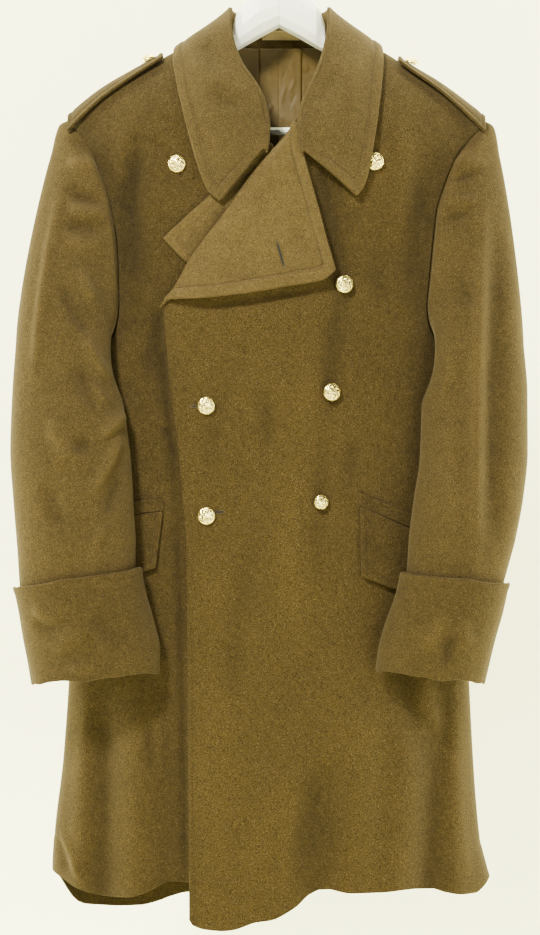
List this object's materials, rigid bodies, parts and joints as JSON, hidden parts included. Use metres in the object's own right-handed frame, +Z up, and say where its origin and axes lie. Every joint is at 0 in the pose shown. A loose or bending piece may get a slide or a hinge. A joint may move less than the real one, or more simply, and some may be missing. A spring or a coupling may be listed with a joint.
{
  "type": "military greatcoat on a hanger",
  "caption": "Double-breasted military greatcoat in khaki wool with turned-back lapel, cuffs, shoulder straps and metal buttons, hanging open at the neck on a white hanger.",
  "frame": {"origin": "inside top of the hanger's hook, where the rail carries it", "axes": "+Z up, -Y out of the coat's front, +X towards the wearer's left side"},
  "size_m": [0.62, 0.1761, 1.2177],
  "materials": {
    "wool": "heavy milled wool with a short nap, heathered khaki",
    "lining": "smooth cotton sateen, khaki",
    "brass": "pale gilt, polished relief",
    "hanger_plastic": "smooth white moulding",
    "hook_steel": "plated wire"
  },
  "bodies": {
    "root": {"front_left": "wool", "front_right": "wool", "back_left": "wool", "back_right": "wool", "sleeve_left": "wool", "sleeve_right": "wool", "cuff_left": "wool", "cuff_right": "wool", "lapel_left": "wool", "lapel_right": "wool", "collar": "wool", "flap_left": "wool", "flap_right": "wool", "welt_left": "wool", "welt_right": "wool", "strap_left": "wool", "strap_right": "wool", "back_lining": "lining", "hanger_loop": "lining", "button_1": "brass", "button_2": "brass", "button_3": "brass", "button_4": "brass", "button_5": "brass", "button_6": "brass", "button_7": "brass", "strap_button_left": "brass", "strap_button_right": "brass", "hanger_body": "hanger_plastic", "hanger_bar": "hanger_plastic", "hanger_hook": "hook_steel"}
  },
  "joints": []
}
